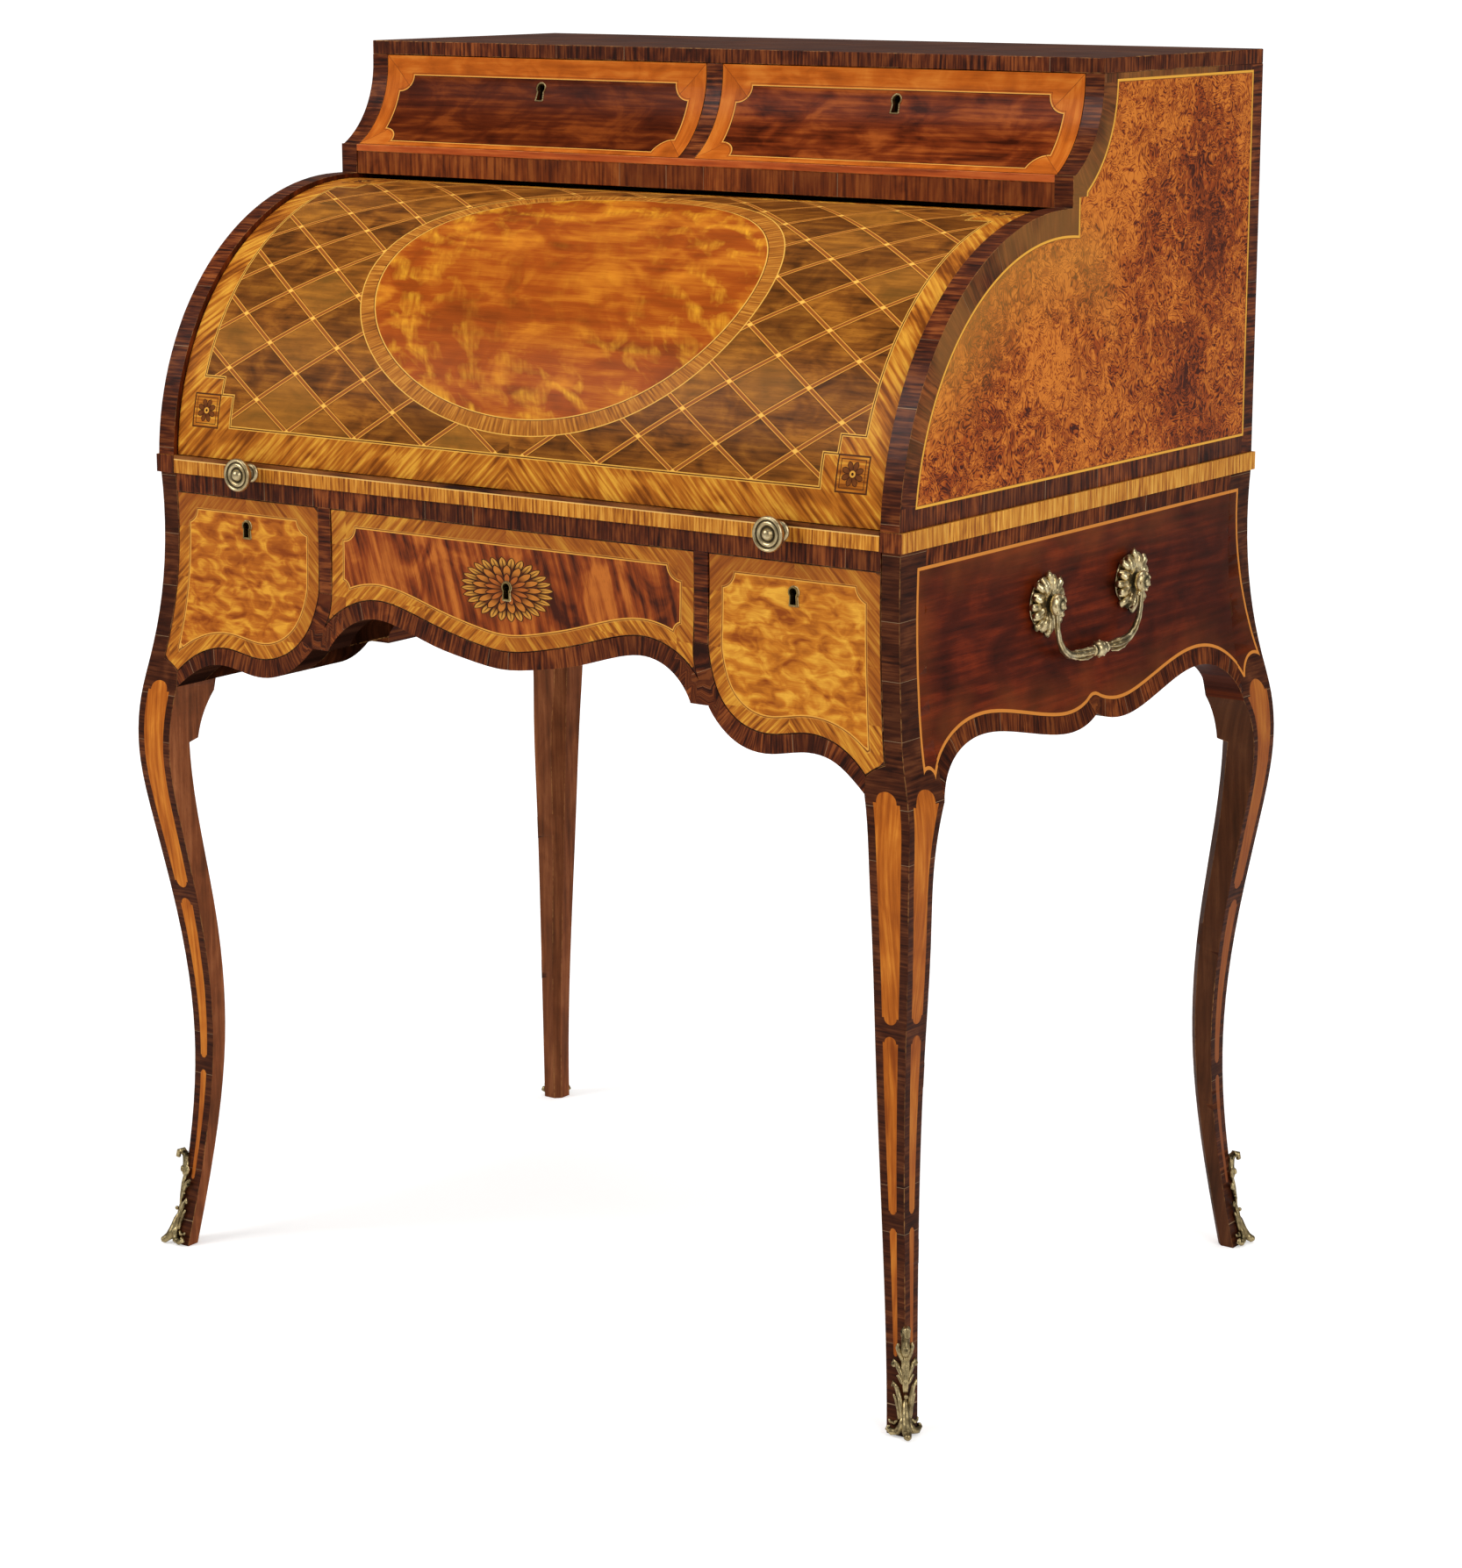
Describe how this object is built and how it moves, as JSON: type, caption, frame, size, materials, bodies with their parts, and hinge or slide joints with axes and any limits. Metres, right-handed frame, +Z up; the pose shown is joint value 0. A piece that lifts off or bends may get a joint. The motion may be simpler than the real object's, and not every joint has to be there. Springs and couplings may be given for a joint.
{
  "type": "cylinder desk",
  "caption": "Small veneered cylinder desk: a quarter-round shutter geared to a pull-out writing slide, hollow-fronted drawers above, a swelling case and cabriole legs below.",
  "frame": {"origin": "on the floor under the middle of the desk's outline", "axes": "+Z up, -Y towards the sitter at the front, +X to the right as seen from the front"},
  "size_m": [0.794, 0.5864, 1.04],
  "materials": {
    "kingwood": "waxed crossbanding",
    "mahogany": "waxed veneer",
    "satinwood": "waxed figured veneer",
    "tulipwood": "waxed striped veneer",
    "burr": "waxed burr veneer",
    "oak": "plain planed lining",
    "brass": "worn gilding",
    "iron": "blackened forging",
    "leather": "worn skiver"
  },
  "bodies": {
    "case": {"leg_front_right": "kingwood", "leg_front_left": "kingwood", "leg_back_right": "kingwood", "leg_back_left": "kingwood", "sabots": "brass", "lower_side_right": "mahogany", "drawer_divider_right": "kingwood", "upper_side_right": "burr", "handle_rosettes_right": "brass", "lower_side_left": "mahogany", "drawer_divider_left": "kingwood", "upper_side_left": "burr", "handle_rosettes_left": "brass", "lower_back": "oak", "front_apron": "kingwood", "apron_backing": "mahogany", "front_rail": "kingwood", "drawer_runners": "oak", "slide_bed": "oak", "waist_frame": "tulipwood", "slide_guides": "oak", "upper_back": "oak", "top_board": "kingwood", "ledge_board": "kingwood", "upper_divider": "kingwood", "nest_floor": "mahogany", "pigeonhole_nest": "mahogany"},
    "slide": {"slide_board": "mahogany", "slide_leather": "leather", "slide_brackets": "iron", "slide_knobs": "brass", "slide_front": "tulipwood"},
    "cylinder": {"cylinder_shell": "tulipwood", "trammel_right": "iron", "trammel_left": "iron"},
    "side_drawer_right": {"side_drawer_right_front": "satinwood", "side_drawer_right_lock": "brass", "side_drawer_right_box": "oak"},
    "side_drawer_right_bolt": {"side_drawer_right_bolt": "iron"},
    "side_drawer_left": {"side_drawer_left_front": "satinwood", "side_drawer_left_lock": "brass", "side_drawer_left_box": "oak"},
    "side_drawer_left_bolt": {"side_drawer_left_bolt": "iron"},
    "middle_drawer": {"middle_drawer_front": "mahogany", "middle_drawer_lock": "brass", "middle_drawer_box": "oak"},
    "middle_drawer_bolt": {"middle_drawer_bolt": "iron"},
    "upper_drawer_right": {"upper_drawer_right_front": "mahogany", "upper_drawer_right_lock": "brass", "upper_drawer_right_box": "oak"},
    "upper_drawer_right_bolt": {"upper_drawer_right_bolt": "iron"},
    "upper_drawer_left": {"upper_drawer_left_front": "mahogany", "upper_drawer_left_lock": "brass", "upper_drawer_left_box": "oak"},
    "upper_drawer_left_bolt": {"upper_drawer_left_bolt": "iron"},
    "nest_drawer_right": {"nest_drawer_right": "satinwood"},
    "handle_bail_right": {"handle_bail_right": "brass"},
    "nest_drawer_left": {"nest_drawer_left": "satinwood"},
    "handle_bail_left": {"handle_bail_left": "brass"}
  },
  "joints": [
    {"name": "slide_run", "type": "slide", "parent": "case", "child": "slide", "axis": [0, -1, 0], "range_m": [0, 0.189]},
    {"name": "cylinder_roll", "type": "hinge", "parent": "case", "child": "cylinder", "pos_m": [0, -0.0398, 0.696], "axis": [-1, 0, 0], "range_deg": [0, 85]},
    {"name": "side_drawer_right_run", "type": "slide", "parent": "case", "child": "side_drawer_right", "axis": [0, -1, 0], "range_m": [0, 0.3]},
    {"name": "side_drawer_left_run", "type": "slide", "parent": "case", "child": "side_drawer_left", "axis": [0, -1, 0], "range_m": [0, 0.3]},
    {"name": "middle_drawer_run", "type": "slide", "parent": "case", "child": "middle_drawer", "axis": [0, -1, 0], "range_m": [0, 0.3]},
    {"name": "upper_drawer_right_run", "type": "slide", "parent": "case", "child": "upper_drawer_right", "axis": [0, -1, 0], "range_m": [0, 0.15]},
    {"name": "upper_drawer_left_run", "type": "slide", "parent": "case", "child": "upper_drawer_left", "axis": [0, -1, 0], "range_m": [0, 0.15]},
    {"name": "nest_drawer_right_run", "type": "slide", "parent": "case", "child": "nest_drawer_right", "axis": [0, -1, 0], "range_m": [0, 0.08]},
    {"name": "nest_drawer_left_run", "type": "slide", "parent": "case", "child": "nest_drawer_left", "axis": [0, -1, 0], "range_m": [0, 0.08]},
    {"name": "side_drawer_right_bolt_throw", "type": "slide", "parent": "side_drawer_right", "child": "side_drawer_right_bolt", "axis": [0, 0, 1], "range_m": [0, 0.008]},
    {"name": "side_drawer_left_bolt_throw", "type": "slide", "parent": "side_drawer_left", "child": "side_drawer_left_bolt", "axis": [0, 0, 1], "range_m": [0, 0.008]},
    {"name": "middle_drawer_bolt_throw", "type": "slide", "parent": "middle_drawer", "child": "middle_drawer_bolt", "axis": [0, 0, 1], "range_m": [0, 0.008]},
    {"name": "upper_drawer_right_bolt_throw", "type": "slide", "parent": "upper_drawer_right", "child": "upper_drawer_right_bolt", "axis": [0, 0, 1], "range_m": [0, 0.008]},
    {"name": "upper_drawer_left_bolt_throw", "type": "slide", "parent": "upper_drawer_left", "child": "upper_drawer_left_bolt", "axis": [0, 0, 1], "range_m": [0, 0.008]},
    {"name": "handle_bail_right_swing", "type": "hinge", "parent": "case", "child": "handle_bail_right", "pos_m": [0.3848, 0.0038, 0.623], "axis": [0, -1, 0], "range_deg": [0, 90]},
    {"name": "handle_bail_left_swing", "type": "hinge", "parent": "case", "child": "handle_bail_left", "pos_m": [-0.3848, 0.0038, 0.623], "axis": [0, 1, 0], "range_deg": [0, 90]}
  ],
  "couplings": [
    {"joint": "cylinder_roll", "follows": "slide_run", "rad_per_m": 7.849}
  ]
}
